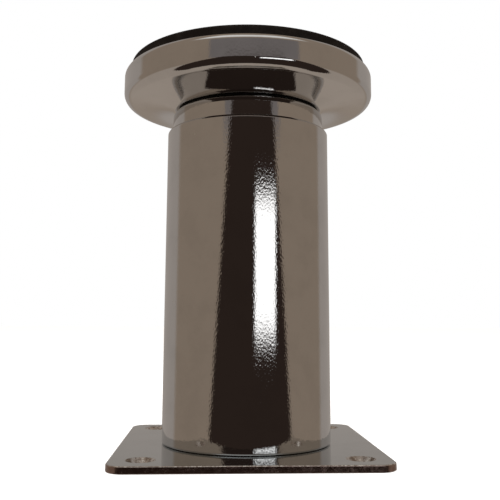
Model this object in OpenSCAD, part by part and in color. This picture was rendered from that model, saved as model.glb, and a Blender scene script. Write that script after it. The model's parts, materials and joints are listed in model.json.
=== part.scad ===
// Adjustable round furniture leg with a square fixing plate and a turn-out levelling foot.
// The leg stands on its fixing plate here, foot upwards, as it lies on a bench before fitting.
// Z = 0 is the face of the plate that meets the furniture. All sizes are in millimetres.

/* [Fixing plate] */
// Side of the square plate
plate_w = 75; // [72:1:90]
// Thickness of the plate
plate_t = 2; // [1.5:0.5:3]
// Radius of the plate's corners
plate_corner_r = 5; // [3:1:7]
// Distance between the screw holes, both ways
hole_pitch = 58; // [54:1:59]
// Diameter of the screw holes
hole_d = 5; // [4.5:0.5:5.5]
// Diameter of the countersinks at the plate's upper face
hole_sink_d = 8; // [7:0.5:9]

/* [Tube] */
// Outer diameter of the tube
tube_d = 50.8; // [48:0.2:54]
// Wall thickness of the tube
tube_wall = 1.5; // [1.2:0.1:2]
// Length of the tube
tube_len = 95; // [80:1:200]

/* [End cap] */
// Length of the cap that stands out of the tube
cap_stand = 6.5; // [5:0.1:10]
// Length of the cap's skirt inside the tube
cap_skirt = 12; // [8:1:16]
// Radius of the cap's rounded shoulder
cap_edge_r = 2; // [0.8:0.1:2.4]

/* [Levelling foot] */
// Outer diameter of the dish
dish_d = 79; // [74:1:80]
// Height of the dish, from its hub to its rim
dish_h = 12.2; // [11.4:0.1:14]
// Slope of the dish's underside, in degrees
dish_slope = 9.5; // [7:0.5:10]
// Radius of the dish's rounded lower edge
dish_edge_r = 2.8; // [2:0.1:3.2]
// Radius of the dish's rounded rim, which turns in over the pad
dish_rim_r = 2.2; // [1.4:0.1:2.6]
// Thickness of the dish's sheet metal
dish_t = 1; // [0.8:0.1:1.2]
// Radius of the flat hub at the middle of the dish
hub_r = 24.5; // [24:0.5:26]
// Height of the rubber pad above the dish's rim
pad_stand = 2.9; // [2:0.1:4]
// Height adjustment, from wound in to the stop
travel = 18; // [8:1:20]

/* [Threads] */
// Diameter of the foot's thread
stem_d = 10; // [8:1:12]
// Radial play between the foot's thread and its nut
stem_play = 0.05; // [0.03:0.01:0.1]
// Diameter of the screw that holds the plate
screw_d = 8; // [6:1:8]

/* [Hidden] */
$fn = 96;
overlap = 0.01;

// Colours
chrome = [0.78, 0.75, 0.71];
zinc = [0.72, 0.72, 0.70];
blacked = [0.12, 0.12, 0.13];
rubber = [0.08, 0.06, 0.06];
plastic = [0.16, 0.16, 0.17];

// Stem, tube and cap
stem_r = stem_d / 2;
tube_r = tube_d / 2;
bore_r = tube_r - tube_wall;
tube_end_z = plate_t + tube_len;
cup_t = 1.5;
cap_top_z = tube_end_z + cap_stand;
cap_h = cap_stand + cap_skirt;
cap_hole_r = stem_r + 0.6;

// Plate screw, in a formed dimple in the plate, with its hexagon socket
dimple_play = 0.4;
dimple_neck_r = screw_d / 2 + dimple_play;
dimple_cone_h = screw_d / 2;
dimple_mouth_r = dimple_neck_r + dimple_cone_h;
dimple_top_z = dimple_cone_h + 1;
dimple_wall = plate_t * sqrt(2);
dimple_flare = 3.6;
dimple_root_r = dimple_mouth_r + dimple_flare;
screw_sink = 0.3;
screw_tip_z = 16;
socket_flats = screw_d * 0.625;
socket_depth = 3.2;

// Anchor cup and the nut welded on its web
anchor_gap = 0.6;
anchor_z = dimple_top_z + anchor_gap;
anchor_h = 14;
anchor_nut_flats = 14;
anchor_nut_h = 6.5;

// Nut welded inside the end cap
stem_nut_flats = 17;
stem_nut_h = 8;
stem_nut_z = cap_top_z - cup_t - stem_nut_h;

// Washer between cap and dish
washer_t = 0.3;
washer_gap = 0.05;
washer_inset = 1.5;
washer_r = bore_r - washer_inset;
washer_hole_r = stem_r + 1;

// Dish
dish_r = dish_d / 2;
dish_z = cap_top_z + washer_t + 2 * washer_gap;
rim_z = dish_z + dish_h;
edge_x = dish_r - dish_edge_r;
edge_z = dish_z + (edge_x + dish_edge_r * sin(dish_slope) - hub_r) * tan(dish_slope)
    + dish_edge_r * cos(dish_slope);
rim_x = dish_r - dish_rim_r;
rim_turn_z = rim_z - dish_rim_r;
rim_lip = 0.3;
rim_open_r = rim_x - rim_lip;
dish_hole_r = stem_r + 0.2;
hub_nut_h = 6.5;
hub_nut_z = dish_z + dish_t;

// Plastic core of the dish
core_deck_t = 3;
pad_spigot_h = 3.4;
core_top_z = rim_z - pad_spigot_h;
core_deck_z = core_top_z - core_deck_t;
core_r = dish_r - dish_t - 0.3;
core_hole_r = 11;
core_rib_t = 1.8;
core_ribs = 8;
core_collar_w = 2.4;
core_rib_inset = 1.2;
core_gap = 0.2;
core_foot_z = edge_z - dish_edge_r + dish_t + core_gap;

// Rubber pad
pad_play = 0.1;
pad_r = rim_x + pad_play;
pad_spigot_r = rim_open_r - pad_play;
pad_top_z = rim_z + pad_stand;
pad_edge_r = 0.9;
pad_recess_r = 9;
pad_groove_w = 1.6;
pad_groove_depth = 1;
pad_grooves = [16, 24, 32];

// Stem's stop clip
clip_t = 1;
clip_r = 8;
clip_slot = 7;
clip_play = 0.1;
clip_top_z = stem_nut_z - travel - clip_play;
clip_neck_depth = 1;
clip_neck_r = stem_r - clip_neck_depth;
clip_to_tip = 3;
stem_tip_z = clip_top_z - clip_t - clip_to_tip;
stem_inset = 0.6;
stem_top_z = hub_nut_z + hub_nut_h - stem_inset;
stem_chamfer = 0.8;

// Flat ring that starts at height z
module ring(r_out, r_in, h, z) {
    translate([0, 0, z])
        difference() {
            cylinder(r = r_out, h = h);
            translate([0, 0, -overlap]) cylinder(r = r_in, h = h + 2 * overlap);
        }
}

// Hexagon nut by its width across flats
module hex_nut(flats, bore, h, z) {
    translate([0, 0, z])
        difference() {
            cylinder(r = flats / 2 / cos(30), h = h, $fn = 6);
            translate([0, 0, -overlap]) cylinder(r = bore, h = h + 2 * overlap);
        }
}

// Half section of a block with one rounded outer corner at its top
module rounded_half(r, h, corner) {
    square([r - corner, h]);
    square([r, h - corner]);
    translate([r - corner, h - corner]) circle(corner);
}

// Drawn cup, closed at its top, with a hole in its web
module drawn_cup(r, h, wall, corner, hole) {
    rotate_extrude()
        difference() {
            rounded_half(r, h, corner);
            translate([0, -overlap]) rounded_half(r - wall, h - wall + overlap, max(corner - wall, 0.4));
            translate([-overlap, -overlap]) square([hole + overlap, h + 2 * overlap]);
        }
}

// Outline of the square plate with round corners
module plate_outline() {
    flat = plate_w - 2 * plate_corner_r;
    square([plate_w, flat], center = true);
    square([flat, plate_w], center = true);
    for (x = [-flat / 2, flat / 2], y = [-flat / 2, flat / 2])
        translate([x, y]) circle(plate_corner_r);
}

// Screw hole with its countersink in the upper face
module screw_hole() {
    sink = (hole_sink_d - hole_d) / 2;
    translate([0, 0, -overlap]) cylinder(d = hole_d, h = plate_t + 2 * overlap);
    translate([0, 0, plate_t - sink])
        cylinder(d1 = hole_d, d2 = hole_sink_d + 2 * overlap, h = sink + overlap);
}

module mounting_plate() {
    color(chrome) union() {
        difference() {
            linear_extrude(plate_t) plate_outline();
            translate([0, 0, -overlap]) cylinder(r = dimple_root_r - 1, h = plate_t + 2 * overlap);
            for (x = [-0.5, 0.5], y = [-0.5, 0.5])
                translate([x * hole_pitch, y * hole_pitch, 0]) screw_hole();
        }
        rotate_extrude()
            polygon([
                [dimple_mouth_r, 0],
                [dimple_root_r, 0],
                [dimple_root_r, plate_t],
                [dimple_mouth_r + dimple_wall - plate_t, plate_t],
                [dimple_mouth_r + dimple_wall - dimple_top_z, dimple_top_z],
                [dimple_neck_r, dimple_top_z],
                [dimple_neck_r, dimple_cone_h]
            ]);
    }
}

module plate_screw() {
    head_h = dimple_mouth_r - screw_sink - screw_d / 2;
    color(zinc) difference() {
        union() {
            translate([0, 0, screw_sink])
                cylinder(r1 = dimple_mouth_r - screw_sink, r2 = screw_d / 2, h = head_h);
            translate([0, 0, screw_sink]) cylinder(d = screw_d, h = screw_tip_z - screw_sink);
        }
        translate([0, 0, screw_sink - overlap])
            cylinder(r = socket_flats / 2 / cos(30), h = socket_depth + overlap, $fn = 6);
    }
}

module anchor_cup() {
    color(zinc)
        translate([0, 0, anchor_z + anchor_h]) mirror([0, 0, 1])
            drawn_cup(bore_r, anchor_h, cup_t, 2, screw_d / 2 + 0.3);
}

module anchor_nut() {
    color(zinc) hex_nut(anchor_nut_flats, screw_d / 2, anchor_nut_h, anchor_z + cup_t);
}

module leg_tube() {
    color(chrome) ring(tube_r, bore_r, tube_len, plate_t);
}

module end_cap() {
    color(chrome)
        translate([0, 0, cap_top_z - cap_h])
            drawn_cup(bore_r, cap_h, cup_t, cap_edge_r, cap_hole_r);
}

module stem_nut() {
    color(zinc) hex_nut(stem_nut_flats, stem_r + stem_play, stem_nut_h, stem_nut_z);
}

module buffer_washer() {
    color(blacked) ring(washer_r, washer_hole_r, washer_t, cap_top_z + washer_gap);
}

// Half section of the dish, shrunk by t for its inner face and open above the rim by extra
module dish_half(t, extra) {
    tangent_x = edge_x + (dish_edge_r - t) * sin(dish_slope);
    tangent_z = edge_z - (dish_edge_r - t) * cos(dish_slope);
    polygon([
        [0, dish_z + t],
        [hub_r - t * tan(dish_slope / 2), dish_z + t],
        [tangent_x, tangent_z],
        [edge_x, edge_z],
        [rim_x, rim_turn_z],
        [rim_x, rim_z - t],
        [rim_open_r, rim_z - t],
        [rim_open_r, rim_z + extra],
        [0, rim_z + extra]
    ]);
    translate([edge_x, edge_z]) circle(dish_edge_r - t);
    translate([0, edge_z]) square([dish_r - t, rim_turn_z - edge_z]);
    translate([rim_x, rim_turn_z]) circle(dish_rim_r - t);
}

module dish_shell() {
    color(chrome) rotate_extrude()
        difference() {
            dish_half(0, 0);
            dish_half(dish_t, overlap);
            translate([-overlap, dish_z - 1]) square([dish_hole_r + overlap, dish_h]);
        }
}

module hub_nut() {
    color(zinc) hex_nut(stem_nut_flats, stem_r, hub_nut_h, hub_nut_z);
}

module dish_core() {
    rib_r0 = core_hole_r + core_collar_w / 2;
    rib_r1 = core_r - core_rib_inset;
    color(plastic) union() {
        ring(core_r, core_hole_r, core_deck_t, core_deck_z);
        ring(core_hole_r + core_collar_w, core_hole_r, core_deck_z - hub_nut_z + overlap, hub_nut_z);
        for (i = [0 : core_ribs - 1])
            rotate([90, 0, i * 360 / core_ribs])
                linear_extrude(core_rib_t, center = true)
                    polygon([
                        [rib_r0, hub_nut_z + core_gap],
                        [hub_r, hub_nut_z + core_gap],
                        [rib_r1, core_foot_z],
                        [rib_r1, core_deck_z + overlap],
                        [rib_r0, core_deck_z + overlap]
                    ]);
    }
}

module rubber_pad() {
    color(rubber) difference() {
        union() {
            translate([0, 0, core_top_z]) cylinder(r = pad_spigot_r, h = rim_z - core_top_z + overlap);
            translate([0, 0, rim_z]) rotate_extrude() rounded_half(pad_r, pad_stand, pad_edge_r);
        }
        translate([0, 0, pad_top_z - pad_groove_depth])
            cylinder(r = pad_recess_r, h = pad_groove_depth + overlap);
        for (r = pad_grooves)
            ring(r + pad_groove_w / 2, r - pad_groove_w / 2, pad_groove_depth + overlap,
                pad_top_z - pad_groove_depth);
    }
}

module threaded_stem() {
    color(zinc) difference() {
        union() {
            translate([0, 0, stem_tip_z]) cylinder(r1 = stem_r - stem_chamfer, r2 = stem_r, h = stem_chamfer);
            translate([0, 0, stem_tip_z + stem_chamfer])
                cylinder(r = stem_r, h = stem_top_z - stem_tip_z - stem_chamfer);
        }
        ring(stem_r + 1, clip_neck_r, clip_t, clip_top_z - clip_t);
    }
}

module stop_clip() {
    color(blacked) difference() {
        ring(clip_r, clip_neck_r + 0.05, clip_t, clip_top_z - clip_t);
        translate([0, -clip_slot / 2, clip_top_z - clip_t - overlap])
            cube([clip_r + 1, clip_slot, clip_t + 2 * overlap]);
    }
}

mounting_plate();
plate_screw();
anchor_cup();
anchor_nut();
leg_tube();
end_cap();
stem_nut();
buffer_washer();
dish_shell();
hub_nut();
dish_core();
rubber_pad();
threaded_stem();
stop_clip();
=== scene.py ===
"""Looks of the adjustable furniture leg: chromed plate, tube, cap and dish, with a black rubber pad."""

import json
import math
from collections import namedtuple

import bmesh
import bpy
from mathutils import Matrix, Vector


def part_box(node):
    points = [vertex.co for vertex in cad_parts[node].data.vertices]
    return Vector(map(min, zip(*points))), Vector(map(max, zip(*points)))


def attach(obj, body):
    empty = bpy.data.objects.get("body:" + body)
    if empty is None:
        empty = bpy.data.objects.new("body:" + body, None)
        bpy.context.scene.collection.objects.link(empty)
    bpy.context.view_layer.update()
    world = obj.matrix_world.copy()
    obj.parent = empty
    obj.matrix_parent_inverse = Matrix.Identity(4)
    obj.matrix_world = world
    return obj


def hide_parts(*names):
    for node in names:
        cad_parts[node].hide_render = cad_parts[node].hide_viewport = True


MM = 0.001
STEPS = 192              # points round a turned piece
SUPPORT = 0.06 * MM      # distance of a guard point from the corner it guards
ON_AXIS = 1e-7           # nearer the Z axis than this, a loop is a pole
TOUCH = 0.01 * MM        # nearer than this, two radii are the same

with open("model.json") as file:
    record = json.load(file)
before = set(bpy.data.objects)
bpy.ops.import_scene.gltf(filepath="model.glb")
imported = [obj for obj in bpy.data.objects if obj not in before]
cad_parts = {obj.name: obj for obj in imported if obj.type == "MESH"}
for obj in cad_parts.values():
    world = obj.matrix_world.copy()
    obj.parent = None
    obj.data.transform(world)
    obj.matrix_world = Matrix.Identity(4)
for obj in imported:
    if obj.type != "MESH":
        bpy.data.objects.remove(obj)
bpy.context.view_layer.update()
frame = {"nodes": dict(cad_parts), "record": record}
record = frame["record"]
holes = next(m for m in record["mounts"] if m["name"] == "plate_holes")["dims"]


# ---------------------------------------------------------------- places taken from the frame

def bottom(node):
    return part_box(node)[0].z


def top(node):
    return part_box(node)[1].z


def radius(node):
    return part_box(node)[1].x


PLATE_HALF = radius("mounting_plate")
PLATE_T = bottom("leg_tube")
DIMPLE_TOP = top("mounting_plate")
TUBE_R = radius("leg_tube")
BORE_R = radius("end_cap")
SHEET = TUBE_R - BORE_R
DISH_R = radius("dish_shell")
STEM_R = radius("threaded_stem")
SCREW_R = 4 * MM         # M8 plate screw
FLOOR_Z = -0.1 * MM      # just clear of the plate's underside
THREAD_PITCH = 1.5 * MM  # M10


# ---------------------------------------------------------------- mesh building

def rounded(corners, closed=True, turn=math.radians(6)):
    """Turns corners (r, z, fillet) into points, with an arc at each fillet and guard points beside it."""
    pts = [Vector((c[0], c[1])) for c in corners]
    count = len(pts)
    out = []
    for i, corner in enumerate(corners):
        fillet = corner[2] if len(corner) > 2 else 0
        if not fillet or (not closed and i in (0, count - 1)):
            out.append(pts[i])
            continue
        u = (pts[i - 1] - pts[i]).normalized()
        v = (pts[(i + 1) % count] - pts[i]).normalized()
        half = u.angle(v) / 2
        centre = pts[i] + (u + v).normalized() * fillet / math.sin(half)
        start = pts[i] + u * fillet / math.tan(half) - centre
        sweep = start.angle_signed(pts[i] + v * fillet / math.tan(half) - centre)
        n = max(2, math.ceil(abs(sweep) / turn))
        for k in range(n + 1):
            out.append(centre + Matrix.Rotation(-sweep * k / n, 2) @ start)
    return guarded(out, closed)


def guarded(points, closed):
    """Adds a point close to each end of every long straight run, so that smooth shading stays true."""
    out = []
    for i, a in enumerate(points):
        out.append(a)
        if i == len(points) - 1 and not closed:
            break
        b = points[(i + 1) % len(points)]
        run = (b - a).length
        if run > 6 * SUPPORT:
            step = (b - a) / run * SUPPORT
            out += [a + step, b - step]
    return out


def add_loop(bm, points):
    return [bm.verts.new(p) for p in points]


def skin(bm, loops):
    """Bridges loops of equal length, one after the other. A loop of one vertex is a pole."""
    faces = []
    for a, b in zip(loops, loops[1:]):
        n = max(len(a), len(b))
        for i in range(n):
            j = (i + 1) % n
            ring = [a[i % len(a)], a[j % len(a)], b[j % len(b)], b[i % len(b)]]
            ring = list(dict.fromkeys(ring))
            if len(ring) > 2:
                faces.append(bm.faces.new(ring))
    return faces


def fill(bm, loops):
    """Fills the flat region between an outer loop and the loops inside it."""
    edges = []
    for loop in loops:
        for a, b in zip(loop, loop[1:] + loop[:1]):
            edges.append(bm.edges.get((a, b)) or bm.edges.new((a, b)))
    found = bmesh.ops.triangle_fill(bm, edges=edges, use_beauty=True)
    faces = [g for g in found["geom"] if isinstance(g, bmesh.types.BMFace)]
    for f in faces:
        f.smooth = False
    return faces


def circle(r, z, centre=(0, 0), steps=STEPS):
    turns = [2 * math.pi * i / steps for i in range(steps)]
    return [(centre[0] + r * math.cos(a), centre[1] + r * math.sin(a), z) for a in turns]


def rounded_square(half, corner, z, steps=24):
    pts = []
    for quarter in range(4):
        for k in range(steps + 1):
            a = (quarter + k / steps) * math.pi / 2
            sx = 1 if quarter in (0, 3) else -1
            sy = 1 if quarter in (0, 1) else -1
            x = sx * (half - corner) + corner * math.cos(a)
            y = sy * (half - corner) + corner * math.sin(a)
            pts.append((x, y, z))
    return pts


def finish_piece(bm, name, body, nodes, materials, sharp=40):
    bmesh.ops.recalc_face_normals(bm, faces=bm.faces)
    mesh = bpy.data.meshes.new(name)
    bm.to_mesh(mesh)
    bm.free()
    mesh.set_sharp_from_angle(angle=math.radians(sharp))
    for m in materials:
        mesh.materials.append(m)
    obj = bpy.data.objects.new(name, mesh)
    bpy.context.scene.collection.objects.link(obj)
    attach(obj, body)
    if nodes:
        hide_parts(*nodes)
    return obj


def thread_cut(z, angle, pitch, depth):
    """How deep a vee thread is below its crest at a height and an angle."""
    crest, flank = 0.12, 0.66
    phase = (z / pitch - angle / (2 * math.pi)) % 1
    tooth = 1 - abs(2 * phase - 1)
    return depth * min(max((tooth - crest) / flank, 0), 1)


def lathe(name, corners, body, nodes, material, thread=None, steps=STEPS):
    """Turns a closed outline about Z. thread is (lowest, highest, pitch, depth) on the outer wall."""
    outline = rounded(corners)
    if thread:
        low, high, pitch, depth = thread
        major = max(p.x for p in outline)
        fine = []
        for a, b in zip(outline, outline[1:] + outline[:1]):
            fine.append(a)
            if min(a.x, b.x) > major - TOUCH:
                n = math.ceil((b - a).length / (pitch / 16))
                fine += [a.lerp(b, k / n) for k in range(1, n)]
        outline = fine
    bm = bmesh.new()
    loops = []
    for p in outline:
        if p.x < ON_AXIS:
            loops.append(add_loop(bm, [(0, 0, p.y)]))
            continue
        pts = circle(p.x, p.y, steps=steps)
        if thread and p.x > major - MM and low < p.y < high:
            pts = []
            for i in range(steps):
                angle = 2 * math.pi * i / steps
                fade = min(1, (p.y - low) / pitch, (high - p.y) / pitch)
                r = min(p.x, major - thread_cut(p.y, angle, pitch, depth) * fade)
                pts.append((r * math.cos(angle), r * math.sin(angle), p.y))
        loops.append(add_loop(bm, pts))
    closing = [] if len(loops[0]) == 1 and len(loops[-1]) == 1 else loops[:1]
    for f in skin(bm, loops + closing):
        f.smooth = True
    return finish_piece(bm, name, body, nodes, [material])


# ---------------------------------------------------------------- materials

class Nodes:
    """Short calls for building a node tree."""

    def __init__(self, tree):
        self.tree = tree
        tree.nodes.clear()

    def add(self, kind, **settings):
        node = self.tree.nodes.new(kind)
        for key, value in settings.items():
            setattr(node, key, value)
        return node

    def put(self, socket, value):
        if isinstance(value, bpy.types.NodeSocket):
            self.tree.links.new(value, socket)
        else:
            socket.default_value = value

    def math(self, operation, *values):
        node = self.add("ShaderNodeMath", operation=operation)
        for socket, value in zip(node.inputs, values):
            self.put(socket, value)
        return node.outputs[0]

    def ramp(self, value, low, high, to_low=0.0, to_high=1.0, smooth=True):
        node = self.add("ShaderNodeMapRange", interpolation_type="SMOOTHSTEP" if smooth else "LINEAR")
        for socket, v in zip(node.inputs, (value, low, high, to_low, to_high)):
            self.put(socket, v)
        return node.outputs[0]

    def mix(self, factor, a, b):
        node = self.add("ShaderNodeMix", data_type="RGBA")
        self.put(node.inputs[0], factor)
        self.put(node.inputs[6], a)
        self.put(node.inputs[7], b)
        return node.outputs[2]

    def noise(self, where, scale, detail=2.0, rough=0.5):
        node = self.add("ShaderNodeTexNoise")
        self.put(node.inputs["Vector"], where)
        self.put(node.inputs["Scale"], scale)
        self.put(node.inputs["Detail"], detail)
        self.put(node.inputs["Roughness"], rough)
        return node.outputs["Fac"]

    def stretched(self, scale):
        """The object's own coordinates, scaled per axis."""
        coords = self.add("ShaderNodeTexCoord")
        node = self.add("ShaderNodeMapping")
        self.put(node.inputs["Vector"], coords.outputs["Object"])
        node.inputs["Scale"].default_value = scale
        return node.outputs[0]

    def bump(self, height, distance, strength=1.0, under=None):
        node = self.add("ShaderNodeBump")
        self.put(node.inputs["Height"], height)
        node.inputs["Distance"].default_value = distance
        node.inputs["Strength"].default_value = strength
        if under is not None:
            self.put(node.inputs["Normal"], under)
        return node.outputs[0]

    def specks(self, scale, size, share):
        """Sparse round specks: 1 in a speck, 0 elsewhere. share of the cells hold one."""
        cells = self.add("ShaderNodeTexVoronoi")
        self.put(cells.inputs["Vector"], self.stretched((1, 1, 1)))
        cells.inputs["Scale"].default_value = scale
        chosen = self.math("LESS_THAN", self.red(cells.outputs["Color"]), share)
        spot = self.ramp(cells.outputs["Distance"], size * 0.6, size, 1.0, 0.0)
        return self.math("MULTIPLY", spot, chosen)

    def red(self, colour):
        node = self.add("ShaderNodeSeparateColor")
        self.put(node.inputs[0], colour)
        return node.outputs[0]


def new_material(name):
    mat = bpy.data.materials.new(name)
    mat.use_nodes = True
    n = Nodes(mat.node_tree)
    shader = n.add("ShaderNodeBsdfPrincipled")
    out = n.add("ShaderNodeOutputMaterial")
    mat.node_tree.links.new(shader.outputs[0], out.inputs[0])
    return mat, n, shader


def chrome(name, tint, gloss, haze, grain, wave, streaks, speck_share):
    """Bright plate: mirror with a fine grain, slow waves, faint drawing streaks and a few specks of dust.

    gloss and haze are the roughness where the plate is clear and where it is clouded. grain, wave and
    streaks are heights in metres. speck_share is the share of cells that hold a speck.
    """
    mat, n, s = new_material(name)
    plain = n.stretched((1, 1, 1))
    specks = n.specks(180, 0.035, speck_share)
    cloud = n.noise(plain, 90, 4.0, 0.6)
    dull = n.ramp(cloud, 0.42, 0.72)
    darker = tuple(c * 0.93 for c in tint) + (1,)
    colour = n.mix(dull, tint + (1,), darker)
    colour = n.mix(specks, colour, (0.82, 0.80, 0.77, 1))
    n.put(s.inputs["Base Color"], colour)
    s.inputs["Metallic"].default_value = 1.0
    fine = n.noise(plain, 1500, 3.0, 0.6)
    clouding = n.math("ADD", n.math("MULTIPLY", dull, 0.6), n.math("MULTIPLY", fine, 0.4))
    rough = n.ramp(clouding, 0, 1, gloss, haze)
    rough = n.math("MAXIMUM", rough, n.math("MULTIPLY", specks, 0.5))
    n.put(s.inputs["Roughness"], rough)
    waves = n.bump(n.noise(plain, 60, 1.0), wave)
    drawn = n.bump(n.noise(n.stretched((420, 420, 9)), 1.0, 2.0), streaks, under=waves)
    grains = n.bump(n.noise(n.stretched((2600, 2600, 1400)), 1.0, 1.0), grain, under=drawn)
    dots = n.bump(specks, 0.00003, under=grains)
    n.put(s.inputs["Normal"], dots)
    return mat


def cut_edge(name, tint):
    """The plate's sheared edge under its chrome: ragged, duller and browner, with a few bright burrs."""
    mat, n, s = new_material(name)
    rag = n.noise(n.stretched((1, 1, 1)), 700, 5.0, 0.7)
    burr = n.specks(420, 0.16, 0.16)
    dark = tuple(c * 0.75 for c in tint) + (1,)
    colour = n.mix(n.ramp(rag, 0.35, 0.7), dark, tint + (1,))
    n.put(s.inputs["Base Color"], n.mix(burr, colour, (0.85, 0.83, 0.80, 1)))
    s.inputs["Metallic"].default_value = 1.0
    satin = n.ramp(rag, 0.3, 0.7, 0.14, 0.28)
    n.put(s.inputs["Roughness"], n.math("MAXIMUM", satin, n.math("MULTIPLY", burr, 0.6)))
    shear = n.bump(n.noise(n.stretched((900, 900, 120)), 1.0, 3.0), 0.000008)
    n.put(s.inputs["Normal"], n.bump(rag, 0.00001, under=shear))
    return mat


def rubbed_edge_painted_glints(name, bright, dark):
    """Edges and countersinks where the plating is rubbed and lumpy, with painted glints: bright patches
    in the base colour, between dark spots, stand in for glints of light.
    """
    mat, n, s = new_material(name)
    plain = n.stretched((1, 1, 1))
    lumps = n.noise(plain, 1100, 4.0, 0.7)
    patches = n.noise(plain, 210, 3.0, 0.6)
    # share masks the bright patches, which are painted glints in the base colour.
    share = n.math("MULTIPLY", n.ramp(lumps, 0.42, 0.58), n.ramp(patches, 0.35, 0.6, 0.35, 1.0))
    n.put(s.inputs["Base Color"], n.mix(share, dark + (1,), bright + (1,)))
    s.inputs["Metallic"].default_value = 1.0
    n.put(s.inputs["Roughness"], n.ramp(patches, 0.3, 0.7, 0.18, 0.34))
    n.put(s.inputs["Normal"], n.bump(lumps, 0.00008, under=n.bump(patches, 0.0002)))
    return mat


def dull_metal(name, tint, rough_low, rough_high, grain):
    """Zinc-plated or blackened steel: satin, cloudy, with fine scratches."""
    mat, n, s = new_material(name)
    plain = n.stretched((1, 1, 1))
    cloud = n.noise(plain, 260, 5.0, 0.6)
    scratch = n.noise(n.stretched((2600, 2600, 160)), 1.0, 3.0)
    dark = tuple(c * 0.7 for c in tint) + (1,)
    n.put(s.inputs["Base Color"], n.mix(n.ramp(cloud, 0.35, 0.65), dark, tint + (1,)))
    s.inputs["Metallic"].default_value = 1.0
    n.put(s.inputs["Roughness"], n.ramp(cloud, 0.3, 0.7, rough_low, rough_high))
    n.put(s.inputs["Normal"], n.bump(scratch, grain, under=n.bump(cloud, grain * 2)))
    return mat


def moulded(name, tint, bloom, rough, scale, grain, gloss=0.35):
    """Rubber, fibre or plastic: dark, with a fine moulded grain and a dusty bloom."""
    mat, n, s = new_material(name)
    plain = n.stretched((1, 1, 1))
    dust = n.ramp(n.noise(plain, 170, 6.0, 0.7), 0.45, 0.75)
    n.put(s.inputs["Base Color"], n.mix(dust, tint + (1,), bloom + (1,)))
    n.put(s.inputs["Roughness"], n.ramp(dust, 0, 1, rough, min(rough + 0.2, 0.95)))
    s.inputs["Specular IOR Level"].default_value = gloss
    pebbles = n.noise(plain, scale, 4.0, 0.6)
    n.put(s.inputs["Normal"], n.bump(pebbles, grain))
    return mat


CHROME = (0.62, 0.615, 0.61)
PLATE_CHROME = (0.42, 0.45, 0.46)
EDGE_CHROME = (0.40, 0.30, 0.27)
chromed_tube = chrome(
    "chromed_tube", CHROME,
    gloss=0.012, haze=0.05, grain=1.6e-5, wave=6e-6, streaks=5e-7, speck_share=0.10)
chromed_cap = chrome(
    "chromed_cap", CHROME,
    gloss=0.012, haze=0.05, grain=1.2e-5, wave=6e-6, streaks=5e-7, speck_share=0.10)
chromed_dish = chrome(
    "chromed_dish", CHROME,
    gloss=0.02, haze=0.06, grain=8e-6, wave=1.2e-5, streaks=5e-7, speck_share=0.10)
chromed_plate = chrome(
    "chromed_plate", PLATE_CHROME,
    gloss=0.06, haze=0.12, grain=4.5e-6, wave=2e-5, streaks=1e-6, speck_share=0.12)
plate_edge = cut_edge("chromed_plate_edge", EDGE_CHROME)
# Rubbed plating for the upper fillets and countersinks; its bright patches are painted glints.
worn_edge_painted_glints = rubbed_edge_painted_glints("rubbed_plate_edge_painted_glints", (0.80, 0.77, 0.73), (0.34, 0.29, 0.26))
zinc = dull_metal("zinc_steel", (0.60, 0.59, 0.55), rough_low=0.28, rough_high=0.45, grain=1.5e-5)
blacked = dull_metal("blacked_steel", (0.10, 0.10, 0.11), rough_low=0.35, rough_high=0.5, grain=1e-5)
fibre = moulded(
    "black_fibre", tint=(0.012, 0.011, 0.010), bloom=(0.03, 0.028, 0.026),
    rough=0.7, scale=2200, grain=2e-5)
plastic = moulded(
    "black_plastic", tint=(0.02, 0.02, 0.021), bloom=(0.05, 0.05, 0.05),
    rough=0.5, scale=1400, grain=2e-5)
rubber = moulded(
    "black_rubber", tint=(0.007, 0.005, 0.004), bloom=(0.020, 0.016, 0.013),
    rough=0.70, scale=1700, grain=3e-5, gloss=0.2)


# ---------------------------------------------------------------- pieces

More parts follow.
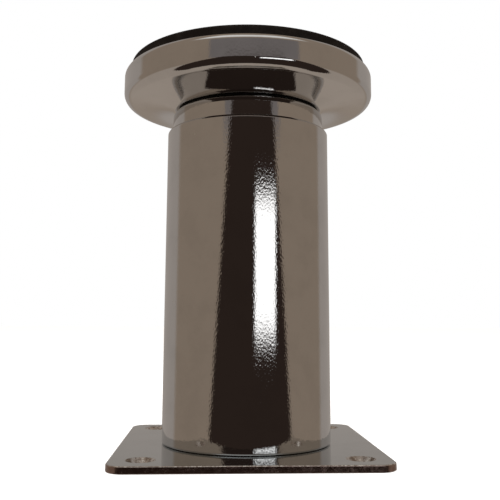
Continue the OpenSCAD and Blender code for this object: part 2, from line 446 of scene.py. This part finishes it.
def mounting_plate():
    """Sheet with rounded edges, four countersunk holes and a dimple for the screw head.

    The edge and the bores get the second material, and their rubbed upper fillets the third, whose bright
    patches are painted glints.
    """
    t = PLATE_T
    corner = 5 * MM
    pitch = holes["spacing_x_mm"] * MM
    hole_r = holes["hole_r_mm"] * MM
    sink_r = hole_r + 1.5 * MM
    lip = 1 * MM
    bm = bmesh.new()
    edge = rounded([(-lip, 0), (0, 0, 0.3 * MM), (0, t, 0.35 * MM), (-lip, t)], closed=False)
    rims = [add_loop(bm, rounded_square(PLATE_HALF + p.x, corner + p.x, p.y)) for p in edge]
    sides = skin(bm, rims)
    lows, highs = [rims[0]], [rims[-1]]
    bores = []
    bore = rounded([
        (hole_r + lip, 0),
        (hole_r, 0, 0.2 * MM),
        (hole_r, t - (sink_r - hole_r), 0.2 * MM),
        (sink_r, t, 0.25 * MM),
        (sink_r + lip, t),
    ], closed=False)
    for sx in (-0.5, 0.5):
        for sy in (-0.5, 0.5):
            at = (sx * pitch, sy * pitch)
            loops = [add_loop(bm, circle(p.x, p.y, at, 64)) for p in bore]
            bores += skin(bm, loops)
            lows.append(loops[0])
            highs.append(loops[-1])
    cone = DIMPLE_TOP - MM
    mouth = SCREW_R + 0.4 * MM + cone
    wall = t * math.sqrt(2)
    dimple = rounded([
        (mouth + lip, 0),
        (mouth, 0, 0.8 * MM),
        (mouth - cone, cone, 0.3 * MM),
        (mouth - cone, DIMPLE_TOP, 0.2 * MM),
        (mouth + wall - DIMPLE_TOP, DIMPLE_TOP, 0.6 * MM),
        (mouth + wall - t, t, 0.8 * MM),
        (mouth + wall - t + lip, t),
    ], closed=False)
    loops = [add_loop(bm, circle(p.x, p.y)) for p in dimple]
    skin(bm, loops)
    lows.append(loops[0])
    highs.append(loops[-1])
    for f in bm.faces:
        f.smooth = True
    flat, slanted = 0.95, 0.35
    for f in sides + bores:
        f.normal_update()
        lean = abs(f.normal.z)
        if lean < flat:
            upper = f.calc_center_median().z > t / 2
            # The upper fillets take the third material, with its painted glints; the rest of the edge
            # takes the second.
            f.material_index = 2 if upper and lean > slanted else 1
    fill(bm, lows)
    fill(bm, highs)
    return finish_piece(
        bm, "plate", "leg", ["mounting_plate"],
        [chromed_plate, plate_edge, worn_edge_painted_glints])


def plate_screw():
    """Countersunk head in the dimple, with a hexagon socket open to the plate's outer face."""
    low, high = bottom("plate_screw"), top("plate_screw")
    head_r = radius("plate_screw")
    flats = SCREW_R * 1.25
    depth = 3.2 * MM
    across = flats / math.cos(math.pi / 6)
    bm = bmesh.new()
    outline = rounded([
        (head_r - MM, low),
        (head_r, low, 0.2 * MM),
        (SCREW_R, low + head_r - SCREW_R, 0.5 * MM),
        (SCREW_R, high, 0.6 * MM),
        (0, high),
    ], closed=False)
    body = []
    for p in outline:
        body.append(add_loop(bm, circle(p.x, p.y, steps=96) if p.x > ON_AXIS else [(0, 0, p.y)]))
    skin(bm, body)
    for f in bm.faces:
        f.smooth = True
    socket = rounded([
        (across + 0.6 * MM, low),
        (across, low, 0.2 * MM),
        (across, low + depth, 0.3 * MM),
        (MM, low + depth + 0.6 * MM),
    ], closed=False)
    hexes = [add_loop(bm, circle(p.x, p.y, steps=6)) for p in socket]
    skin(bm, hexes)
    bm.faces.new(hexes[-1])
    fill(bm, [body[0], hexes[0]])
    return finish_piece(bm, "plate_bolt", "leg", ["plate_screw"], [zinc])


def leg_tube():
    low, high = bottom("leg_tube"), top("leg_tube")
    return lathe("tube", [
        (TUBE_R, low, 0.7 * MM),
        (TUBE_R, high, 0.9 * MM),
        (BORE_R, high, 0.15 * MM),
        (BORE_R, low, 0.2 * MM),
    ], "leg", ["leg_tube"], chromed_tube)


def end_cap():
    low, high = bottom("end_cap"), top("end_cap")
    hole = STEM_R + 0.6 * MM
    return lathe("cap", [
        (BORE_R, low, 0.3 * MM),
        (BORE_R, high, 2 * MM),
        (hole, high, 0.3 * MM),
        (hole, high - SHEET, 0.3 * MM),
        (BORE_R - SHEET, high - SHEET, 0.6 * MM),
        (BORE_R - SHEET, low, 0.3 * MM),
    ], "leg", ["end_cap"], chromed_cap)


def buffer_washer():
    low, high = bottom("buffer_washer"), top("buffer_washer")
    outer, inner = radius("buffer_washer"), STEM_R + MM
    return lathe("washer_ring", [
        (outer, low, 0.1 * MM),
        (outer, high, 0.1 * MM),
        (inner, high, 0.1 * MM),
        (inner, low, 0.1 * MM),
    ], "washer", ["buffer_washer"], fibre)


def eased(start, lean, end, end_lean, steps=48):
    """Corners of a smooth curve between two points (r, z) that leaves and arrives at the given leans."""
    run, rise = end[0] - start[0], end[1] - start[1]
    leaving = run * math.tan(lean)
    arriving = run * math.tan(end_lean)
    out = []
    for k in range(steps + 1):
        u = k / steps
        z = leaving * (u - 2 * u ** 2 + u ** 3)
        z += rise * (3 * u ** 2 - 2 * u ** 3)
        z += arriving * (u ** 3 - u ** 2)
        out.append((start[0] + run * u, start[1] + z))
    return out


def dish_shell():
    """Pressed dish. Its underside is up to 0.7 mm hollow, so that it stretches what it mirrors."""
    low, high = bottom("dish_shell"), top("dish_shell")
    slope = math.tan(math.radians(9.5))
    hub = 24.5 * MM
    sheet = 1 * MM
    edge_r = 2.8 * MM
    edge_lean = math.radians(3)
    edge_z = low + 2.24 * MM
    hollow_start = (23.5 * MM, low)
    hollow_end = (DISH_R - edge_r, edge_z - edge_r * math.tan(edge_lean))
    rim_turn = 2.2 * MM
    opening = DISH_R - rim_turn - 0.3 * MM
    hole = STEM_R + 0.2 * MM
    inner = DISH_R - sheet
    return lathe("dish", [
        (hole, low, 0.3 * MM),
        *eased(hollow_start, math.radians(21), hollow_end, edge_lean),
        (DISH_R, edge_z, edge_r),
        (DISH_R, high, rim_turn),
        (opening, high, 0.15 * MM),
        (opening, high - sheet, 0.15 * MM),
        (inner, high - sheet, rim_turn - sheet),
        (inner, low + sheet + (inner - hub) * slope, 1.8 * MM),
        (hub, low + sheet, 8 * MM),
        (hole, low + sheet, 0.3 * MM),
    ], "foot", ["dish_shell"], chromed_dish, steps=256)


def rubber_pad():
    """Pad over the rim, on a spigot inside it, with three round grooves and a recess in its face."""
    low, high = bottom("rubber_pad"), top("rubber_pad")
    rim = top("dish_shell")
    outer = radius("rubber_pad")
    spigot = outer - 0.5 * MM
    depth = 1 * MM
    corners = [
        (0, low),
        (spigot, low, 0.4 * MM),
        (spigot, rim),
        (outer, rim, 0.15 * MM),
        (outer, high, 0.9 * MM),
    ]
    for groove in (32 * MM, 24 * MM, 16 * MM):
        half = 0.8 * MM
        corners += [
            (groove + half, high, 0.3 * MM),
            (groove + half, high - depth, 0.3 * MM),
            (groove - half, high - depth, 0.3 * MM),
            (groove - half, high, 0.3 * MM),
        ]
    recess = 9 * MM
    corners += [(recess, high, 0.4 * MM), (recess, high - depth, 0.4 * MM), (0, high - depth)]
    return lathe("pad", corners, "foot", ["rubber_pad"], rubber)


def threaded_stem():
    """Threaded rod with a plain neck for the stop clip."""
    low, high = bottom("threaded_stem"), top("threaded_stem")
    groove_low, groove_high = bottom("stop_clip"), top("stop_clip")
    neck = STEM_R - MM
    thread = (groove_high, high, THREAD_PITCH, 0.9 * MM)
    return lathe("stem", [
        (0, low),
        (STEM_R, low, 0.8 * MM),
        (STEM_R, groove_low, 0.1 * MM),
        (neck, groove_low, 0.1 * MM),
        (neck, groove_high, 0.1 * MM),
        (STEM_R, groove_high, 0.1 * MM),
        (STEM_R, high, 0.6 * MM),
        (0, high),
    ], "foot", ["threaded_stem"], zinc, thread=thread, steps=64)


mounting_plate()
plate_screw()
leg_tube()
end_cap()
buffer_washer()
dish_shell()
rubber_pad()
threaded_stem()

CAD_LOOKS = {
    "anchor_cup": zinc,
    "anchor_nut": zinc,
    "stem_nut": zinc,
    "hub_nut": zinc,
    "dish_core": plastic,
    "stop_clip": blacked,
}
for node, look in CAD_LOOKS.items():
    for material_slot in frame["nodes"][node].material_slots:
        material_slot.material = look


# ---------------------------------------------------------------- studio

# A plain soft studio, as light by direction: a warm wall all round and a few soft cards over it, as
# chrome is usually lit. Angles are in degrees. Azimuth 0 is the camera's side and grows towards +X.
# A card spans half each side of its middle, from low to high in elevation, and gets wider by widening
# for each degree downwards. A later card covers an earlier one.
WALL = (0.29, 0.23, 0.18, 1)
Card = namedtuple("Card", "name middle half widening low high soft light")
CARDS = [
    Card("back_wall", middle=180, half=65, widening=0, low=-12, high=60, soft=4,
         light=(0.38, 0.34, 0.31, 1)),
    Card("bench", middle=0, half=200, widening=0, low=-90, high=-15, soft=5,
         light=(0.40, 0.34, 0.29, 1)),
    Card("overhead", middle=0, half=60, widening=0, low=45, high=75, soft=8,
         light=(0.90, 0.88, 0.85, 1)),
    Card("grey_flag", middle=3, half=40, widening=0, low=15, high=30, soft=2,
         light=(0.19, 0.17, 0.165, 1)),
    Card("black_flag", middle=3, half=47, widening=1, low=-60, high=20, soft=2,
         light=(0.030, 0.020, 0.016, 1)),
    Card("strip_box", middle=22, half=14, widening=0, low=-1, high=10, soft=1.5,
         light=(1.8, 1.8, 1.8, 1)),
]


def build_world():
    """The cards light the object and show in its chrome. The camera itself sees plain white."""
    world = bpy.data.worlds.new("studio")
    bpy.context.scene.world = world
    world.use_nodes = True
    n = Nodes(world.node_tree)
    way = n.add("ShaderNodeSeparateXYZ")
    n.put(way.inputs[0], n.add("ShaderNodeTexCoord").outputs["Generated"])
    x, y, z = way.outputs
    az = n.math("DEGREES", n.math("ARCTAN2", x, n.math("MULTIPLY", y, -1.0)))
    el = n.math("DEGREES", n.math("ARCSINE", z))
    colour = WALL
    for card in CARDS:
        away = n.math("ABSOLUTE", n.math("WRAP", n.math("SUBTRACT", az, card.middle), 180.0, -180.0))
        aside = n.math("ADD", away, n.math("MULTIPLY", el, card.widening))
        mask = n.ramp(aside, card.half - card.soft, card.half + card.soft, 1.0, 0.0)
        above = n.ramp(el, card.low - card.soft, card.low + card.soft)
        mask = n.math("MULTIPLY", mask, above)
        below = n.ramp(el, card.high - card.soft, card.high + card.soft, 1.0, 0.0)
        mask = n.math("MULTIPLY", mask, below)
        colour = n.mix(mask, colour, card.light)
    room = n.add("ShaderNodeBackground")
    n.put(room.inputs["Color"], colour)
    paper = n.add("ShaderNodeBackground")
    paper.inputs["Color"].default_value = (1.0, 1.0, 1.0, 1)
    ray = n.add("ShaderNodeLightPath")
    both = n.add("ShaderNodeMixShader")
    n.put(both.inputs[0], ray.outputs["Is Camera Ray"])
    n.put(both.inputs[1], room.outputs[0])
    n.put(both.inputs[2], paper.outputs[0])
    n.put(n.add("ShaderNodeOutputWorld").inputs[0], both.outputs[0])


def build_floor():
    """A pale sweep just under the plate, for the part's soft shadow. Seen from below, it is clear."""
    bm = bmesh.new()
    centre = add_loop(bm, [(0, 0, FLOOR_Z)])
    rings = [add_loop(bm, circle(r, FLOOR_Z, steps=96)) for r in (0.08, 0.2, 0.6, 2.0, 6.0)]
    skin(bm, [centre] + rings)
    bmesh.ops.recalc_face_normals(bm, faces=bm.faces)
    if bm.faces[0].normal.z < 0:
        bmesh.ops.reverse_faces(bm, faces=bm.faces)
    mesh = bpy.data.meshes.new("floor")
    bm.to_mesh(mesh)
    bm.free()
    mat = bpy.data.materials.new("floor")
    mat.use_nodes = True
    n = Nodes(mat.node_tree)
    paint = n.add("ShaderNodeBsdfDiffuse")
    paint.inputs["Color"].default_value = (0.85, 0.85, 0.85, 1)
    glow = n.add("ShaderNodeEmission")
    glow.inputs["Color"].default_value = (1, 1, 1, 1)
    glow.inputs["Strength"].default_value = 0.72
    lit = n.add("ShaderNodeAddShader")
    n.put(lit.inputs[0], paint.outputs[0])
    n.put(lit.inputs[1], glow.outputs[0])
    clear = n.add("ShaderNodeBsdfTransparent")
    side = n.add("ShaderNodeNewGeometry")
    both = n.add("ShaderNodeMixShader")
    n.put(both.inputs[0], side.outputs["Backfacing"])
    n.put(both.inputs[1], lit.outputs[0])
    n.put(both.inputs[2], clear.outputs[0])
    n.put(n.add("ShaderNodeOutputMaterial").inputs[0], both.outputs[0])
    mesh.materials.append(mat)
    floor = bpy.data.objects.new("floor", mesh)
    bpy.context.scene.collection.objects.link(floor)
    floor.visible_glossy = False
    floor.visible_diffuse = False


def softlight(name, place, target, size, power):
    """A large lamp that lights the pad and the satin pieces, and doesn't show in the chrome."""
    data = bpy.data.lights.new(name, "AREA")
    data.shape = "RECTANGLE"
    data.size = size
    data.size_y = size * 0.7
    data.energy = power
    lamp = bpy.data.objects.new(name, data)
    lamp.location = place
    lamp.rotation_mode = "QUATERNION"
    lamp.rotation_quaternion = (Vector(place) - Vector(target)).to_track_quat("Z", "Y")
    lamp.visible_glossy = False
    bpy.context.scene.collection.objects.link(lamp)


def build_camera():
    """Stands low in front of the leg, a little to its left, and looks slightly up at it."""
    yaw, pitch, roll = math.radians(-3), math.radians(8.85), math.radians(0.25)
    data = bpy.data.cameras.new("camera")
    data.sensor_width = 36
    data.lens = 52
    data.shift_y = -0.08
    data.clip_start = 0.01
    cam = bpy.data.objects.new("camera", data)
    turn = Matrix.Rotation(yaw, 4, "Z") @ Matrix.Rotation(math.pi / 2 + pitch, 4, "X")
    turn = turn @ Matrix.Rotation(roll, 4, "Z")
    cam.matrix_world = Matrix.Translation((-0.011, -0.226, 0.0375)) @ turn
    bpy.context.scene.collection.objects.link(cam)
    bpy.context.scene.camera = cam


build_world()
build_floor()
middle = (0, 0, 0.06)
softlight("key", (-0.6, -0.7, 0.9), middle, 0.6, 9)
softlight("fill", (0.8, -0.4, 0.5), middle, 0.6, 4)
build_camera()
bpy.context.scene.view_settings.view_transform = "Standard"
